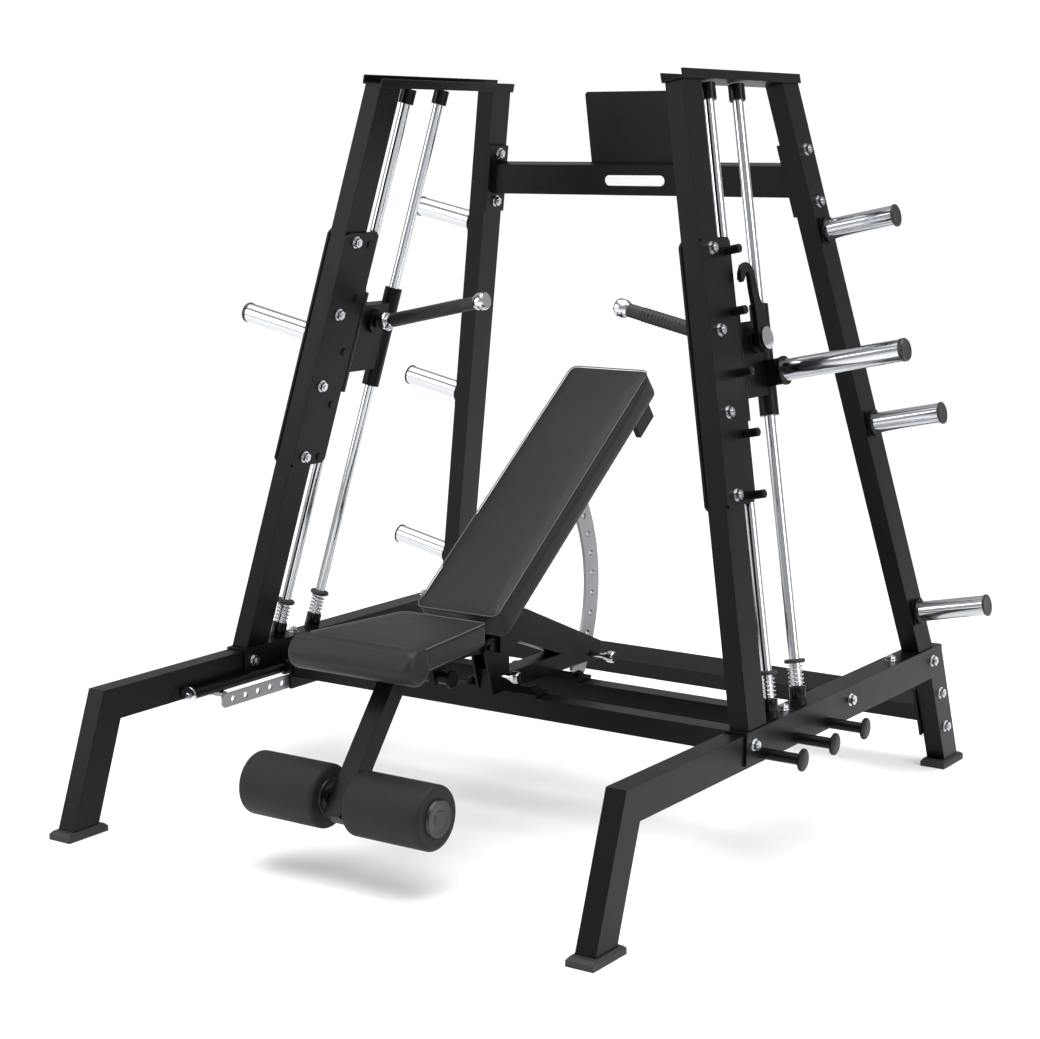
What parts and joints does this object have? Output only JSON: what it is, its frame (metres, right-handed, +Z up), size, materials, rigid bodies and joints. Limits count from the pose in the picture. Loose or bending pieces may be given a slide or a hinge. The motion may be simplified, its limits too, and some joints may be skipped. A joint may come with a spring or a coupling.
{
  "type": "smith machine",
  "caption": "Smith machine with leaning guide-rod towers, independent gripping carriages with safety hooks, weight storage horns, and a sliding reclining bench with a foam leg hold.",
  "frame": {"origin": "centre of the footprint, on the floor", "axes": "+X to the right side of the machine, +Y to its back, +Z up"},
  "size_m": [1.8025, 1.8038, 1.7366],
  "materials": {
    "frame_black": "satin powder coat",
    "gloss_black": "gloss",
    "chrome": "polished",
    "plate_silver": "zinc plated",
    "rubber": "matte",
    "vinyl": "fine grain",
    "foam": "skinned foam"
  },
  "bodies": {
    "frame": {"left_base_frame": "frame_black", "right_base_frame": "frame_black", "left_front_foot": "rubber", "right_front_foot": "rubber", "left_rear_foot": "rubber", "right_rear_foot": "rubber", "left_saddle": "frame_black", "right_saddle": "frame_black", "left_front_post": "frame_black", "right_front_post": "frame_black", "left_rear_post": "frame_black", "right_rear_post": "frame_black", "left_top_channel": "frame_black", "right_top_channel": "frame_black", "left_catch_rack": "frame_black", "right_catch_rack": "frame_black", "left_front_rod": "chrome", "right_front_rod": "chrome", "left_rear_rod": "chrome", "right_rear_rod": "chrome", "left_front_spring": "chrome", "right_front_spring": "chrome", "left_rear_spring": "chrome", "right_rear_spring": "chrome", "left_low_horn": "chrome", "right_low_horn": "chrome", "left_middle_horn": "chrome", "right_middle_horn": "chrome", "left_high_horn": "chrome", "right_high_horn": "chrome", "left_slide_rail": "gloss_black", "right_slide_rail": "gloss_black", "left_strip_bar": "plate_silver", "right_strip_bar": "plate_silver", "rear_crossmember": "frame_black", "upper_crossbeam": "frame_black", "rear_panel": "frame_black"},
    "left_carriage_body": {"left_carriage": "frame_black", "left_weight_sleeve": "chrome"},
    "left_grip": {"left_hook": "frame_black", "left_handle": "rubber"},
    "left_front_ring": {"left_front_bumper": "rubber"},
    "left_rear_ring": {"left_rear_bumper": "rubber"},
    "right_carriage_body": {"right_carriage": "frame_black", "right_weight_sleeve": "chrome"},
    "right_grip": {"right_hook": "frame_black", "right_handle": "rubber"},
    "right_front_ring": {"right_front_bumper": "rubber"},
    "right_rear_ring": {"right_rear_bumper": "rubber"},
    "bench": {"bench_runner": "frame_black", "bench_base": "frame_black"},
    "back_rest": {"back_frame": "frame_black", "back_pad": "vinyl"},
    "seat": {"seat_frame": "frame_black", "seat_pad": "vinyl"},
    "left_roller_body": {"left_roller": "foam"},
    "right_roller_body": {"right_roller": "foam"},
    "recline_pull": {"recline_pin": "chrome"},
    "runner_pull": {"runner_pin": "chrome"},
    "seat_pull": {"seat_pin": "chrome"}
  },
  "joints": [
    {"name": "left_carriage_slide", "type": "slide", "parent": "frame", "child": "left_carriage_body", "axis": [0.2054, 0.1367, 0.9691], "range_m": [-0.549, 0.463]},
    {"name": "left_handle_twist", "type": "hinge", "parent": "left_carriage_body", "child": "left_grip", "pos_m": [-0.53565, 0.058, 1.13627], "axis": [0.9783, 0, -0.2073], "range_deg": [-30, 16]},
    {"name": "left_front_bumper_spring", "type": "slide", "parent": "frame", "child": "left_front_ring", "axis": [0.2054, 0.1367, 0.9691], "range_m": [-0.02, 0], "stiffness_N_per_m": 6000, "deforming": ["left_front_spring"]},
    {"name": "left_rear_bumper_spring", "type": "slide", "parent": "frame", "child": "left_rear_ring", "axis": [0.2054, 0.1367, 0.9691], "range_m": [-0.02, 0], "stiffness_N_per_m": 6000, "deforming": ["left_rear_spring"]},
    {"name": "right_carriage_slide", "type": "slide", "parent": "frame", "child": "right_carriage_body", "axis": [-0.2054, 0.1367, 0.9691], "range_m": [-0.549, 0.463]},
    {"name": "right_handle_twist", "type": "hinge", "parent": "right_carriage_body", "child": "right_grip", "pos_m": [0.53565, 0.058, 1.13627], "axis": [0.9783, 0, 0.2073], "range_deg": [-30, 16]},
    {"name": "right_front_bumper_spring", "type": "slide", "parent": "frame", "child": "right_front_ring", "axis": [-0.2054, 0.1367, 0.9691], "range_m": [-0.02, 0], "stiffness_N_per_m": 6000, "deforming": ["right_front_spring"]},
    {"name": "right_rear_bumper_spring", "type": "slide", "parent": "frame", "child": "right_rear_ring", "axis": [-0.2054, 0.1367, 0.9691], "range_m": [-0.02, 0], "stiffness_N_per_m": 6000, "deforming": ["right_rear_spring"]},
    {"name": "bench_slide", "type": "slide", "parent": "frame", "child": "bench", "axis": [0, 1, 0], "range_m": [-0.2, 0.13]},
    {"name": "back_recline", "type": "hinge", "parent": "bench", "child": "back_rest", "pos_m": [0, -0.139, 0.494], "axis": [1, 0, 0], "range_deg": [-37, 7.4]},
    {"name": "seat_tilt", "type": "hinge", "parent": "bench", "child": "seat", "pos_m": [0, -0.222, 0.418], "axis": [1, 0, 0], "range_deg": [-12, 0]},
    {"name": "left_roller_spin", "type": "hinge", "parent": "seat", "child": "left_roller_body", "pos_m": [-0.143, -0.7355, 0.1786], "axis": [1, 0, 0], "continuous": true},
    {"name": "right_roller_spin", "type": "hinge", "parent": "seat", "child": "right_roller_body", "pos_m": [0.143, -0.7355, 0.1786], "axis": [1, 0, 0], "continuous": true},
    {"name": "recline_pin_pull", "type": "slide", "parent": "bench", "child": "recline_pull", "axis": [1, 0, 0], "range_m": [0, 0.012], "stiffness_N_per_m": 900},
    {"name": "runner_pin_pull", "type": "slide", "parent": "bench", "child": "runner_pull", "axis": [1, 0, 0], "range_m": [0, 0.012], "stiffness_N_per_m": 900},
    {"name": "seat_pin_pull", "type": "slide", "parent": "bench", "child": "seat_pull", "axis": [1, 0, 0], "range_m": [0, 0.012], "stiffness_N_per_m": 900}
  ]
}
